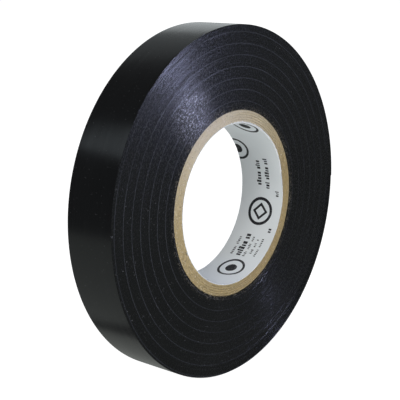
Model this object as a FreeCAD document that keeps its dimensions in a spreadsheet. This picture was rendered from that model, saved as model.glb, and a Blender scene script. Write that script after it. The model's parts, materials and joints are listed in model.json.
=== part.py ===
"""A roll of vinyl electrical tape on a spiral-wound paperboard core.

The roll's axis is Y and its centre is the origin. The core is a printed paper liner inside plies of
board, each a strip wound as a helix that meets its own edge in a butt seam. The tape is one ribbon of
film with glue on its inner face. Its turns are kept in groups, from the core outwards. The last turn
is a true spiral of two half turns, so that its cut end stands one tape thickness above the turn
below. Its final stretch, the tail, is a chain of short links that peel off the roll.
All sizes are in millimetres and degrees.
"""

import FreeCAD, Part
import Sketcher
import os

SIZES = (
    ("bore_radius", 19.05, "inner face of the liner"),
    ("liner_gauge", 0.15, "thickness of the liner"),
    ("ply_gauge", 0.55, "thickness of one ply of board"),
    ("ply_count", 5, "plies of board in the core's wall"),
    ("roll_width", 12.7, "width of the ribbon and of the core, which are slit from a log together"),
    ("seam_gap", 0.25, "opening of a butt seam, measured along the axis"),
    ("seam_lead", 68.0, "advance of a seam along the axis in one turn"),
    ("liner_seam_angle", 147.0, "where the cutter of the liner's seam starts"),
    ("seam_stagger", 137.0, "turn from one layer's seam to the next"),
    ("film_gauge", 0.14, "thickness of the vinyl film"),
    ("glue_gauge", 0.05, "thickness of the glue on the film"),
    ("turn_count", 102, "turns of ribbon on a full roll"),
    ("group_count", 8, "groups that the wound turns are kept in"),
    ("link_count", 6, "links in the tail"),
    ("link_angle", 10.0, "stretch of the roll's edge that one link covers"),
    ("tail_gap", 0.02, "air between the tail's glue and the turn below"),
    ("cut_over", 2.0, "how far a cutter runs past the ends of the roll"),
    ("cut_reach", 0.1, "how far a seam's cutter reaches past the faces of its layer"),
)

# Sizes that follow from the driving ones, as expressions for the document.
TURN_GAUGE = "(Sizes.film_gauge + Sizes.glue_gauge)"
BOARD_INNER = "(Sizes.bore_radius + Sizes.liner_gauge)"
CORE_RADIUS = f"({BOARD_INNER} + Sizes.ply_count * Sizes.ply_gauge)"
ROLL_RADIUS = f"({CORE_RADIUS} + Sizes.turn_count * {TURN_GAUGE})"
TAIL_ANGLE = "(Sizes.link_count * Sizes.link_angle)"
CUTTER_WIDTH = "(Sizes.roll_width + 2 * Sizes.cut_over)"

# The spiral is two half turns. Their centres sit a quarter of a gauge each side of the axis, and the
# second, which runs under the roll to the cut end, is half a gauge smaller than the first.
FIRST_HALF = {"centre": f"({TURN_GAUGE} / 4)", "radius": f"({ROLL_RADIUS} - {TURN_GAUGE} / 4)"}
SECOND_HALF = {"centre": f"(-{TURN_GAUGE} / 4)", "radius": f"({ROLL_RADIUS} - 3 * {TURN_GAUGE} / 4)"}

FULL_TURN = 360
HALF_TURN = 180


def make_sheet(doc):
    """Puts the driving sizes in a sheet, one row each, with the name as the cell's alias."""
    sheet = doc.addObject("Spreadsheet::Sheet", "Sizes")
    for row, (alias, value, note) in enumerate(SIZES, start=1):
        sheet.set(f"A{row}", alias)
        sheet.set(f"B{row}", str(value))
        sheet.set(f"C{row}", note)
        sheet.setAlias(f"B{row}", alias)
    doc.recompute()
    return sheet


def turned_placement(angle, shifted="0", lifted="0"):
    """An expression for a place turned about Y, from +X towards +Z, and shifted along X and Y."""
    return f"placement(vector({shifted}; {lifted}; 0); rotation(vector(0; -1; 0); {angle}))"


def new_body(doc, label, turned="0", shifted="0"):
    body = doc.addObject("PartDesign::Body", label)
    body.Label = label
    body.setExpression("Placement", turned_placement(turned, shifted))
    return body


def section(body, name, inner, outer, width, turned="0", shifted="0", lifted="0"):
    """A rectangle in the body's XY plane, from inner to outer along X and of a width along Y.

    inner is None for a section that starts on the sketch's own Y axis. The sketch itself can be
    turned about Y and shifted, and lifted is the height of its middle along Y.
    """
    sketch = body.newObject("Sketcher::SketchObject", name)
    plane = next(f for f in body.Origin.OriginFeatures if f.Role == "XY_Plane")
    sketch.AttachmentSupport = (plane, [""])
    sketch.MapMode = "FlatFace"
    sketch.setExpression("AttachmentOffset", turned_placement(turned, shifted, lifted))
    start, end, half = (0.0 if inner is None else 1.0), 2.0, 1.0
    corners = [(start, -half), (end, -half), (end, half), (start, half)]
    points = [FreeCAD.Vector(x, y, 0) for x, y in corners]
    for k, point in enumerate(points):
        sketch.addGeometry(Part.LineSegment(point, points[(k + 1) % len(points)]), False)
    for k in range(len(points)):
        sketch.addConstraint(Sketcher.Constraint("Coincident", k, 2, (k + 1) % len(points), 1))
    for side, kind in ((0, "Horizontal"), (2, "Horizontal"), (3, "Vertical")):
        sketch.addConstraint(Sketcher.Constraint(kind, side))
    sketch.addConstraint(Sketcher.Constraint("Symmetric", 1, 1, 1, 2, -1))
    sketch.addConstraint(Sketcher.Constraint("DistanceY", 1, 1, 1, 2, 2 * half))
    sketch.renameConstraint(sketch.ConstraintCount - 1, "width")
    sketch.setExpression("Constraints.width", width)
    sketch.addConstraint(Sketcher.Constraint("DistanceX", -1, 1, 1, 1, end))
    sketch.renameConstraint(sketch.ConstraintCount - 1, "outer")
    sketch.setExpression("Constraints.outer", outer)
    if inner is None:
        sketch.addConstraint(Sketcher.Constraint("PointOnObject", 3, 1, -2))
    else:
        sketch.addConstraint(Sketcher.Constraint("DistanceX", -1, 1, 3, 1, start))
        sketch.renameConstraint(sketch.ConstraintCount - 1, "inner")
        sketch.setExpression("Constraints.inner", inner)
    return sketch


def revolve(body, name, sketch, angle, kind="Revolution", downwards=False):
    """Turns a section about its own Y axis, from +X towards +Z, or towards -Z if downwards."""
    feature = body.newObject(f"PartDesign::{kind}", name)
    feature.Profile = sketch
    feature.ReferenceAxis = (sketch, ["V_Axis"])
    feature.Reversed = not downwards
    feature.setExpression("Angle", str(angle))
    body.Tip = feature
    return feature


def ring(doc, label, inner, outer, angle=FULL_TURN, turned="0", shifted="0"):
    """A ring as wide as the roll, or the stretch of one that starts at the angle turned."""
    body = new_body(doc, label, turned, shifted)
    sketch = section(body, f"{label}_section", inner, outer, "Sizes.roll_width")
    revolve(body, f"{label}_ring", sketch, angle)
    return body


def helical_ply(doc, label, inner, outer, seam_angle):
    """One strip of the core: a tube cut through by the helical seam where the strip's edges meet."""
    body = ring(doc, label, inner, outer, turned=seam_angle)
    doc.recompute()
    uncut = body.Shape.Volume
    cutter = section(
        body,
        f"{label}_seam_section",
        f"{inner} - Sizes.cut_reach",
        f"{outer} + Sizes.cut_reach",
        "Sizes.seam_gap",
        lifted=f"(-{CUTTER_WIDTH} / 2)",
    )
    doc.recompute()
    seam = body.newObject("PartDesign::SubtractiveHelix", f"{label}_seam")
    seam.Profile = cutter
    seam.ReferenceAxis = (cutter, ["V_Axis"])
    seam.Mode = "pitch-height-angle"
    seam.setExpression("Pitch", "Sizes.seam_lead")
    seam.setExpression("Height", CUTTER_WIDTH)
    seam.LeftHanded = True
    seam.Refine = False  # merged faces along a helix don't hold up to further cuts
    body.Tip = seam
    doc.recompute()
    if not body.Shape.Volume < uncut:
        raise RuntimeError(f"the seam of {label} cuts nothing")
    return body


def make_core(doc, sheet):
    """The liner and the plies of board round it, with their seams staggered."""
    core = [helical_ply(doc, "core_liner", "Sizes.bore_radius", BOARD_INNER, "Sizes.liner_seam_angle")]
    for k in range(int(sheet.ply_count)):
        inner = f"({BOARD_INNER} + {k} * Sizes.ply_gauge)"
        seam_angle = f"(Sizes.liner_seam_angle + {k + 1} * Sizes.seam_stagger)"
        core.append(helical_ply(doc, f"core_ply_{k + 1}", inner, f"({inner} + Sizes.ply_gauge)", seam_angle))
    return core


def group_radius(number):
    """The outer face of a group of turns. Number 0 is the core's outer face."""
    return f"({CORE_RADIUS} + {number} * (Sizes.turn_count - 1) / Sizes.group_count * {TURN_GAUGE})"


def make_outer_group(doc, label, inner):
    """The outermost group of turns, whose outline is the spiral that the last turn lies on."""
    body = new_body(doc, label)
    for name, half, downwards in (("upper", FIRST_HALF, False), ("lower", SECOND_HALF, True)):
        outer = f"({half['radius']} - {TURN_GAUGE})"
        sketch = section(body, f"{label}_{name}", None, outer, "Sizes.roll_width", shifted=half["centre"])
        revolve(body, f"{label}_{name}_half", sketch, HALF_TURN, downwards=downwards)
    doc.recompute()
    uncut = body.Shape.Volume
    hole = section(body, f"{label}_hole_section", None, inner, CUTTER_WIDTH)
    revolve(body, f"{label}_hole", hole, FULL_TURN, kind="Groove")
    doc.recompute()
    if not body.Shape.Volume < uncut:
        raise RuntimeError(f"the hole of {label} cuts nothing")
    return body


def make_wound_turns(doc, sheet):
    """Every turn of the ribbon but the last, in groups."""
    count = int(sheet.group_count)
    groups = [ring(doc, f"wound_turns_{k}", group_radius(k - 1), group_radius(k)) for k in range(1, count)]
    groups.append(make_outer_group(doc, f"wound_turns_{count}", group_radius(count - 1)))
    return groups


def layer(half, above, below, proud="0"):
    """Inner and outer radius of a layer of the last turn, from its depths under the outer face."""
    return f"({half['radius']} + {proud} - {below})", f"({half['radius']} + {proud} - {above})"


def make_last_turn(doc, label, above, below):
    """One layer of the last turn, from where the tail leaves it back round to the turn's start."""
    body = new_body(doc, label)
    halves = (
        ("upper", FIRST_HALF, TAIL_ANGLE, f"{HALF_TURN} - {TAIL_ANGLE}", False),
        ("lower", SECOND_HALF, "0", HALF_TURN, True),
    )
    for name, half, turned, angle, downwards in halves:
        inner, outer = layer(half, above, below)
        sketch = section(
            body,
            f"{label}_{name}",
            inner,
            outer,
            "Sizes.roll_width",
            turned=turned,
            shifted=half["centre"],
        )
        revolve(body, f"{label}_{name}_half", sketch, angle, downwards=downwards)
    return body


def make_tail(doc, sheet, name, above, below):
    """One layer of the tail, a link at a time from the roll to the cut end."""
    inner, outer = layer(FIRST_HALF, above, below, proud="Sizes.tail_gap")
    links = []
    for k in range(1, int(sheet.link_count) + 1):
        turned = f"({TAIL_ANGLE} - {k} * Sizes.link_angle)"
        shifted = FIRST_HALF["centre"]
        links.append(ring(doc, f"{name}_{k}", inner, outer, "Sizes.link_angle", turned, shifted))
    return links


def check(doc, pieces):
    """Stops if any object failed, or any piece isn't one valid closed solid."""
    failed = [o.Label for o in doc.Objects if {"Invalid", "Error"} & set(o.State)]
    if failed:
        raise RuntimeError(f"these objects failed: {failed}")
    for piece in pieces:
        shape = piece.Shape
        if shape.isNull() or not shape.isValid() or len(shape.Solids) != 1 or shape.Volume <= 0:
            raise RuntimeError(f"{piece.Label} isn't one valid solid")


def main():
    doc = FreeCAD.newDocument("tape_roll")
    sheet = make_sheet(doc)
    pieces = make_core(doc, sheet)
    pieces += make_wound_turns(doc, sheet)
    pieces.append(make_last_turn(doc, "last_turn_film", "0", "Sizes.film_gauge"))
    pieces.append(make_last_turn(doc, "last_turn_glue", "Sizes.film_gauge", TURN_GAUGE))
    pieces += make_tail(doc, sheet, "tail_film", "0", "Sizes.film_gauge")
    pieces += make_tail(doc, sheet, "tail_glue", "Sizes.film_gauge", TURN_GAUGE)
    doc.recompute()
    check(doc, pieces)
    os.makedirs("parts", exist_ok=True)
    for piece in pieces:
        piece.Shape.exportStep(f"parts/{piece.Label}.step")
        print(f"{piece.Label}: {piece.Shape.Volume:.3f} mm3")


main()
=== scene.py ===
"""A roll of black vinyl insulating tape on its board core, finished and set in a pale studio."""

import json
import logging
import math
from collections.abc import Callable, Iterator
from contextlib import contextmanager
from dataclasses import dataclass, field
from enum import Enum

import bpy
import numpy as np
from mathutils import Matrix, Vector

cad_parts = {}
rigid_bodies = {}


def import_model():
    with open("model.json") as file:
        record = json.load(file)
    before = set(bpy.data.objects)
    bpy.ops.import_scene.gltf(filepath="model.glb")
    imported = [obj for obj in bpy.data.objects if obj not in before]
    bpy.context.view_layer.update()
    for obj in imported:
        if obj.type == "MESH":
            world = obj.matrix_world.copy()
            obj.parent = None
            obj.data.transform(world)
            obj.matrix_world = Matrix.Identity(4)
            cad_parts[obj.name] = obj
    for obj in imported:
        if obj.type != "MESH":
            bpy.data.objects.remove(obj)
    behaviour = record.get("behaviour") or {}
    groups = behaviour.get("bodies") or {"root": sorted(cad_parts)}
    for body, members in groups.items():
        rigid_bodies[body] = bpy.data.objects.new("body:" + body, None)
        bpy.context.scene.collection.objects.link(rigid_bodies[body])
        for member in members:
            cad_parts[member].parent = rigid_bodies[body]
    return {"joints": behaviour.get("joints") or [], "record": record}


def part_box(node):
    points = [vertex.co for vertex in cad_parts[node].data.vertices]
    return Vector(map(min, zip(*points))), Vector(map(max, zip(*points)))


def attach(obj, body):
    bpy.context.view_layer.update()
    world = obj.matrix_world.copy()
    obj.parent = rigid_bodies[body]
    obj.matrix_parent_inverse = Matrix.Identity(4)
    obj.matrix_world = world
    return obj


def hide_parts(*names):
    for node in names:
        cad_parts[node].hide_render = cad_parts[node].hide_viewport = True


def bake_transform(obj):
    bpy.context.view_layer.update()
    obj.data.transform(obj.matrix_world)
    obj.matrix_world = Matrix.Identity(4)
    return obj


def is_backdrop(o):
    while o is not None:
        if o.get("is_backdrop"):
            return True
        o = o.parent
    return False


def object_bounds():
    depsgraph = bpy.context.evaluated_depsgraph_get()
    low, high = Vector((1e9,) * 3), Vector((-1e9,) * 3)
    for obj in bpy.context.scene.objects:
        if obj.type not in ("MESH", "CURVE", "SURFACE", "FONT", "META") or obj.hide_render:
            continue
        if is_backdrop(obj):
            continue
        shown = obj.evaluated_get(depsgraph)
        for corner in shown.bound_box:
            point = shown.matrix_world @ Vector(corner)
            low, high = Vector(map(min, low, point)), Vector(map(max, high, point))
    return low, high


LOG = logging.getLogger("tape_roll")

MM = 0.001
TAU = 2 * math.pi
# Kept off each side, so that rounding leaves no piece wider than its node.
ROUNDING = 2e-8
# Vertices closer than this are one.
MERGE = 1e-6
# Over these degrees the last turn rises to the tail, which lies a hair clear of the roll.
TAIL_RISE = (65.0, 60.0)
# A face whose normal lies more than this along the axis belongs to a slit side.
SIDEWAYS = 0.6
WHITE = (1.0, 1.0, 1.0, 1.0)
GREY = (0.3, 0.3, 0.3, 1.0)

Object = bpy.types.Object
Array = np.ndarray
Colour = tuple[float, float, float]
Spot = tuple[float, float]
Polar = tuple[Array, Array, Array]
Rule = Callable[[Array, Array, Array], Polar]


class Slot(Enum):
    """The finishes that the record names."""

    VINYL = "vinyl"
    GLUE = "glue"
    BOARD = "board"
    PAPER = "liner_paper"
    INK = "ink"


class Stamp(Enum):
    """The plain shapes that the liner's print is made of."""

    TARGET = "ring with a disc"
    LOZENGE = "ring with a lozenge"
    ROW = "row of blocks"


# ---------------------------------------------------------------------------------------------
# Shader maths


class Wire:
    """A shader value or colour that adds its own nodes as an expression is written."""

    def __init__(self, graph: "Graph", socket: bpy.types.NodeSocket) -> None:
        """Wraps one output socket of a graph."""
        self.graph = graph
        self.socket = socket

    def __add__(self, other: "Wire | float") -> "Wire":
        """Adds another value."""
        return self.graph.maths("ADD", self, other)

    def __sub__(self, other: "Wire | float") -> "Wire":
        """Takes another value away."""
        return self.graph.maths("SUBTRACT", self, other)

    def __rsub__(self, other: float) -> "Wire":
        """Takes this value away from a number."""
        return self.graph.maths("SUBTRACT", other, self)

    def __mul__(self, other: "Wire | float") -> "Wire":
        """Multiplies by another value."""
        return self.graph.maths("MULTIPLY", self, other)

    def __truediv__(self, other: "Wire | float") -> "Wire":
        """Divides by another value."""
        return self.graph.maths("DIVIDE", self, other)

    __radd__ = __add__
    __rmul__ = __mul__


class Graph:
    """The node tree of one material or world, with the few moves that the finishes need."""

    def __init__(self, tree: bpy.types.NodeTree) -> None:
        """Empties the tree that is to be filled."""
        self.tree = tree
        tree.nodes.clear()

    def node(self, kind: str, settings: dict | None = None, **inputs: object) -> bpy.types.Node:
        """Adds one node.

        Args:
            kind: The node's type.
            settings: Attributes, which are set before any socket.
            inputs: Values or wires, by socket name with _ for a space, or as i0, i1 by place.

        Returns:
            The new node.
        """
        made = self.tree.nodes.new(kind)
        for key, value in (settings or {}).items():
            setattr(made, key, value)
        for key, value in inputs.items():
            by_place = key[0] == "i" and key[1:].isdigit()
            socket = made.inputs[int(key[1:])] if by_place else made.inputs[key.replace("_", " ")]
            if isinstance(value, Wire):
                self.tree.links.new(value.socket, socket)
            else:
                socket.default_value = value
        return made

    def out(self, node: bpy.types.Node, name: str | int = 0) -> Wire:
        """Wraps one output of a node."""
        return Wire(self, node.outputs[name])

    def maths(self, operation: str, *values: "Wire | float") -> Wire:
        """Adds one maths node on one to three values."""
        inputs = {f"i{k}": value for k, value in enumerate(values)}
        return self.out(self.node("ShaderNodeMath", {"operation": operation}, **inputs))

    def place(self) -> tuple[Wire, Wire, Wire]:
        """Gives the three Object coordinates."""
        coordinates = self.out(self.node("ShaderNodeTexCoord"), "Object")
        split = self.node("ShaderNodeSeparateXYZ", None, Vector=coordinates)
        return self.out(split, "X"), self.out(split, "Y"), self.out(split, "Z")

    def vector(self, x: "Wire | float", y: "Wire | float", z: "Wire | float") -> Wire:
        """Joins three values as a vector."""
        return self.out(self.node("ShaderNodeCombineXYZ", None, X=x, Y=y, Z=z))

    def noise(self, at: Wire, scale: float, detail: float = 2.0, rough: float = 0.5) -> Wire:
        """Gives a noise value, from 0 to 1.

        Args:
            at: The place.
            scale: How many grains there are to a metre.
            detail: How many finer layers are added.
            rough: How strong the finer layers are.

        Returns:
            The value.
        """
        made = self.node(
            "ShaderNodeTexNoise", None, Vector=at, Scale=scale, Detail=detail, Roughness=rough
        )
        return self.out(made, 0)

    def window(self, value: Wire, low: float, high: float) -> Wire:
        """Rises smoothly from 0 at low to 1 at high, and falls if low is the higher one.

        Args:
            value: The value that is judged.
            low: Where the result is 0.
            high: Where the result is 1.

        Returns:
            The share.
        """
        made = self.node(
            "ShaderNodeMapRange",
            {"interpolation_type": "SMOOTHSTEP", "clamp": True},
            Value=value,
            From_Min=min(low, high),
            From_Max=max(low, high),
            To_Min=0.0 if low < high else 1.0,
            To_Max=1.0 if low < high else 0.0,
        )
        return self.out(made)

    def blend(self, share: "Wire | float", one: "Wire | Colour", two: "Wire | Colour") -> Wire:
        """Mixes two colours by a share.

        Args:
            share: How much of the second colour there is.
            one: The first colour.
            two: The second colour.

        Returns:
            The mixed colour.
        """
        mix = self.node("ShaderNodeMix", {"data_type": "RGBA"})
        for place, value in ((0, share), (6, one), (7, two)):
            if isinstance(value, Wire):
                self.tree.links.new(value.socket, mix.inputs[place])
            else:
                mix.inputs[place].default_value = (*value, 1.0) if place else value
        return self.out(mix, 2)

    def bump(self, height: Wire, distance: float) -> Wire:
        """Turns a height into a normal."""
        made = self.node("ShaderNodeBump", None, Strength=1.0, Distance=distance, Height=height)
        return self.out(made, "Normal")


# ---------------------------------------------------------------------------------------------
# Finishes


@dataclass(frozen=True)
class Finish:
    """What every finish has: a name, a colour and how glossy it is."""

    name: str
    colour: Colour
    roughness: float
    specular: float = 0.5
    coat: float = 0.0
    coat_roughness: float = 0.34

    def material(self) -> bpy.types.Material:
        """Gives the finish's material, made once.

        Returns:
            The material, with its pattern from the finish's own paint method.
        """
        found = bpy.data.materials.get(self.name)
        if found:
            return found
        made = bpy.data.materials.new(self.name)
        made.use_nodes = True
        graph = Graph(made.node_tree)
        shader = graph.node(
            "ShaderNodeBsdfPrincipled",
            Base_Color=(*self.colour, 1.0),
            Roughness=self.roughness,
            Specular_IOR_Level=self.specular,
            Coat_Weight=self.coat,
            Coat_Roughness=self.coat_roughness,
        )
        for socket, wire in self.paint(graph).items():
            graph.tree.links.new(wire.socket, shader.inputs[socket])
        graph.node("ShaderNodeOutputMaterial", None, Surface=graph.out(shader))
        return made

    def paint(self, graph: Graph) -> dict[str, Wire]:
        """Gives the wires of the sockets that vary over the surface."""
        return {}


@dataclass(frozen=True)
class FilmFace(Finish):
    """The outer face of the film: calendered black vinyl with faint lengthways lines."""

    line_pitch: float = 0.35 * MM
    line_length: float = 1.6
    cloud_grain: float = 90.0
    peel_grain: float = 1500.0
    dust_grain: float = 2600.0
    dust_colour: Colour = (0.16, 0.165, 0.18)
    relief: float = 0.0035 * MM

    def paint(self, graph: Graph) -> dict[str, Wire]:
        """Paints soft gloss changes, lengthways calender lines and a fine orange peel.

        Args:
            graph: The material's graph.

        Returns:
            The wires of base colour, roughness and normal.
        """
        x, y, z = graph.place()
        radius = graph.maths("SQRT", x * x + z * z)
        around = self.line_length
        along = graph.vector(x / radius * around, y / self.line_pitch, z / radius * around)
        lines = graph.noise(along, 1.0, 3.0, 0.55)
        at = graph.vector(x, y, z)
        cloud = graph.noise(at, self.cloud_grain, 3.0)
        peel = graph.noise(at, self.peel_grain, 2.0)
        dust = graph.window(graph.noise(at, self.dust_grain, 1.0), 0.735, 0.76)
        lighter = tuple(2.0 * c + 0.002 for c in self.colour)
        colour = graph.blend(lines * 0.6 + cloud * 0.4, self.colour, lighter)
        colour = graph.blend(dust * 0.25, colour, self.dust_colour)
        rough = self.roughness + (cloud - 0.5) * 0.10 + (lines - 0.5) * 0.08
        height = lines * 0.7 + peel * 0.25
        return {
            "Base Color": colour,
            "Roughness": rough,
            "Normal": graph.bump(height, self.relief),
        }


@dataclass(frozen=True)
class FilmEdge(Finish):
    """The slit edges of the turns, with the slitting knife's spiral mark and dust, both partly painted
    sheen and highlight.
    """

    mark_start: float = 26.35 * MM
    mark_pitch: float = 2.6 * MM
    mark_angle: float = 45.0
    # The knife's spiral mark is real; its lighter colour, stronger towards this side, is painted
    # sheen.
    mark_side: float = math.radians(120.0)
    mark_width: float = 0.055
    mark_colour: Colour = (0.068, 0.074, 0.090)
    turn_pitch: float = 0.19 * MM
    band_pitch: float = 1.3 * MM
    scuff_grain: float = 420.0
    pit_grain: float = 1900.0
    grit_grain: float = 5200.0
    speck_grain: float = 2900.0
    speck_colour: Colour = (0.42, 0.43, 0.47)
    # Dust near the core, bright and bluish inside the sheen band: partly real dust, partly painted
    # highlight.
    dust_place: Spot = (-15.4 * MM, 22.4 * MM)
    dust_reach: float = 8.5 * MM
    dust_grain: float = 2600.0
    dust_colour: Colour = (0.66, 0.68, 0.80)
    lint_reach: Spot = (23.6 * MM, 21.9 * MM)
    lint_grain: float = 3400.0
    lint_colour: Colour = (0.40, 0.36, 0.29)
    relief: float = 0.010 * MM

    def paint(self, graph: Graph) -> dict[str, Wire]:
        """Paints turn-to-turn changes, the spiral mark with a painted sheen, scuffs, pits, dust with a
        painted highlight patch, and lint.

        Args:
            graph: The material's graph.

        Returns:
            The wires of base colour, roughness and normal.
        """
        x, y, z = graph.place()
        at = graph.vector(x, y, z)
        radius = graph.maths("SQRT", x * x + z * z)
        turn = graph.maths("ARCTAN2", z, x) / TAU
        phase = (radius - self.mark_start) / self.mark_pitch - turn + self.mark_angle / 360.0
        nearest = 0.5 - graph.maths("ABSOLUTE", graph.maths("FRACT", phase) - 0.5)
        mark = graph.window(nearest, self.mark_width, 0.0)
        round_turns = graph.vector(x / radius * 1.3, radius / self.turn_pitch, z / radius * 1.3)
        turns = graph.noise(round_turns, 1.0, 2.0)
        round_bands = graph.vector(x / radius, radius / self.band_pitch, z / radius)
        bands = graph.noise(round_bands, 1.0, 2.0)
        scuff = graph.noise(at, self.scuff_grain, 4.0, 0.65)
        speck = graph.window(graph.noise(at, self.speck_grain, 1.0), 0.715, 0.75)
        patch_x, patch_z = x - self.dust_place[0], z - self.dust_place[1]
        away = graph.maths("SQRT", patch_x * patch_x + patch_z * patch_z)
        dust_and_highlight_patch = graph.window(away, self.dust_reach, 0.5 * MM)
        smear = graph.vector(x + z * 0.35, y, z - x * 0.9)
        dust = graph.window(graph.noise(smear, self.dust_grain, 3.0, 0.75), 0.535, 0.63) * dust_and_highlight_patch
        beside_core = graph.window(radius, *self.lint_reach)
        lint = graph.window(graph.noise(at, self.lint_grain, 2.0), 0.60, 0.66) * beside_core
        grit = graph.noise(at, self.grit_grain, 2.0, 0.6)
        light = tuple(1.8 * c + 0.0015 for c in self.colour)
        colour = graph.blend(turns * 0.55 + bands * 0.45, self.colour, light)
        faded = graph.window(scuff, 0.35, 0.75)
        # Painted sheen: the spiral mark's lighter colour grows stronger towards one side, where the
        # light falls, and where scuffed.
        sheen_facing = (x * math.cos(self.mark_side) + z * math.sin(self.mark_side)) / radius
        depth = sheen_facing * 0.18 + faded * 0.12 + 0.44
        colour = graph.blend(mark * depth, colour, self.mark_colour)
        colour = graph.blend(speck * (0.06 + faded * 0.30), colour, self.speck_colour)
        # Partly real dust, partly painted highlight: bright bluish specks near the core where the
        # sheen falls.
        colour = graph.blend(dust * 0.95, colour, self.dust_colour)
        colour = graph.blend(lint * 0.6, colour, self.lint_colour)
        pitted = graph.window(graph.noise(smear, self.pit_grain, 3.0, 0.7), 0.35, 0.65)
        rough = self.roughness + (turns - 0.5) * 0.20 + (pitted - 0.5) * 0.21 + mark * 0.10
        height = turns * 0.5 + grit * 0.8 + pitted * 0.35 + mark * 0.6
        return {
            "Base Color": colour,
            "Roughness": rough,
            "Normal": graph.bump(height, self.relief),
        }


@dataclass(frozen=True)
class Tack(Finish):
    """The glue: a thin black rubbery coat with lumps and bubbles."""

    lump_grain: float = 800.0
    bubble_grain: float = 2200.0
    relief: float = 0.012 * MM

    def paint(self, graph: Graph) -> dict[str, Wire]:
        """Paints soft lumps and small bubbles.

        Args:
            graph: The material's graph.

        Returns:
            The wires of base colour, roughness and normal.
        """
        x, y, z = graph.place()
        at = graph.vector(x, y, z)
        lumps = graph.noise(at, self.lump_grain, 4.0, 0.6)
        bubbles = graph.window(graph.noise(at, self.bubble_grain, 1.0), 0.62, 0.72)
        lighter = tuple(1.8 * c + 0.004 for c in self.colour)
        return {
            "Base Color": graph.blend(lumps, self.colour, lighter),
            "Roughness": self.roughness + (lumps - 0.5) * 0.25 + bubbles * 0.15,
            "Normal": graph.bump(lumps + bubbles * 0.4, self.relief),
        }


@dataclass(frozen=True)
class Board(Finish):
    """Raw grey board: short fibres in every direction, with darker lines at the plies' glue."""

    ply_start: float = 19.2 * MM
    ply_gauge: float = 0.55 * MM
    fibre_gauge: float = 0.09 * MM
    fibre_turn: float = 40.0
    pulp_grain: float = 1300.0
    cloud_grain: float = 260.0
    dark_grain: float = 2600.0
    dark_colour: Colour = (0.10, 0.07, 0.045)
    white_grain: float = 2400.0
    white_colour: Colour = (0.86, 0.80, 0.70)
    # Painted sheen: the board is paler towards this side, where the light falls.
    faded_side: float = math.radians(100.0)
    faded_colour: Colour = (0.64, 0.56, 0.38)
    relief: float = 0.05 * MM

    def paint(self, graph: Graph) -> dict[str, Wire]:
        """Paints fibres, pulp blotches, a faded side, specks and the glue lines between plies.

        Args:
            graph: The material's graph.

        Returns:
            The wires of base colour, roughness and normal.
        """
        x, y, z = graph.place()
        at = graph.vector(x, y, z)
        radius = graph.maths("SQRT", x * x + z * z)
        around = self.fibre_turn
        swept = graph.vector(x / radius * around, radius / self.fibre_gauge, z / radius * around)
        fibres = graph.noise(swept, 1.0, 4.0, 0.65)
        pulp = graph.window(graph.noise(at, self.pulp_grain, 4.0, 0.7), 0.33, 0.67)
        cloud = graph.noise(at, self.cloud_grain, 3.0)
        dark = graph.window(graph.noise(at, self.dark_grain, 2.0), 0.60, 0.70)
        turned = graph.vector(z, x, y)
        white = graph.window(graph.noise(turned, self.white_grain, 2.0), 0.60, 0.70)
        phase = graph.maths("FRACT", (radius - self.ply_start) / self.ply_gauge + 0.5) - 0.5
        line = graph.window(graph.maths("ABSOLUTE", phase), 0.11, 0.0) * (0.25 + cloud * 0.5)
        deep = tuple(0.66 * c for c in self.colour)
        pale = tuple(min(1.0, 1.32 * c + 0.02) for c in self.colour)
        colour = graph.blend(fibres * 0.5 + pulp * 0.5, deep, pale)
        colour = graph.blend(graph.window(cloud, 0.35, 0.7) * 0.35, colour, self.colour)
        # Painted sheen: paler towards one side, where the light falls.
        lit = (x * math.cos(self.faded_side) + z * math.sin(self.faded_side)) / radius
        colour = graph.blend(graph.window(lit, 0.0, 1.0) * 0.8, colour, self.faded_colour)
        colour = graph.blend(line * 0.30, colour, tuple(0.42 * c for c in self.colour))
        colour = graph.blend(dark * 0.55, colour, self.dark_colour)
        colour = graph.blend(white * 0.5, colour, self.white_colour)
        height = fibres * 0.6 + pulp * 0.8 - line * 0.5
        return {
            "Base Color": colour,
            "Roughness": self.roughness + (pulp - 0.5) * 0.12,
            "Normal": graph.bump(height, self.relief),
        }


@dataclass(frozen=True)
class Paper(Finish):
    """The liner: smooth bleached paper with a faint mottle."""

    mottle_grain: float = 240.0
    fibre_grain: float = 3000.0
    fleck_grain: float = 1900.0
    fleck_colour: Colour = (0.42, 0.42, 0.42)
    relief: float = 0.010 * MM

    def paint(self, graph: Graph) -> dict[str, Wire]:
        """Paints a soft mottle, faint fibres and a few grey flecks.

        Args:
            graph: The material's graph.

        Returns:
            The wires of base colour, roughness and normal.
        """
        x, y, z = graph.place()
        at = graph.vector(x, y, z)
        mottle = graph.noise(at, self.mottle_grain, 4.0, 0.6)
        fibre = graph.noise(graph.vector(x, y * 0.35, z), self.fibre_grain, 4.0, 0.6)
        fleck = graph.window(graph.noise(at, self.fleck_grain, 2.0), 0.70, 0.77)
        shade = tuple(0.86 * c for c in self.colour)
        colour = graph.blend(mottle * 0.6 + fibre * 0.4, shade, self.colour)
        colour = graph.blend(fleck * 0.3, colour, self.fleck_colour)
        return {
            "Base Color": colour,
            "Roughness": self.roughness + (mottle - 0.5) * 0.15,
            "Normal": graph.bump(fibre + mottle * 0.6, self.relief),
        }


@dataclass(frozen=True)
class Ink(Finish):
    """Black print that lets a little paper through."""

    thin_grain: float = 2600.0
    thin_colour: Colour = (0.34, 0.35, 0.36)

    def paint(self, graph: Graph) -> dict[str, Wire]:
        """Paints thin spots where the paper shows.

        Args:
            graph: The material's graph.

        Returns:
            The wires of base colour and roughness.
        """
        x, y, z = graph.place()
        at = graph.vector(x, y, z)
        thin = graph.window(graph.noise(at, self.thin_grain, 3.0), 0.56, 0.78)
        return {
            "Base Color": graph.blend(thin * 0.55, self.colour, self.thin_colour),
            "Roughness": self.roughness + thin * 0.2,
        }


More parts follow.
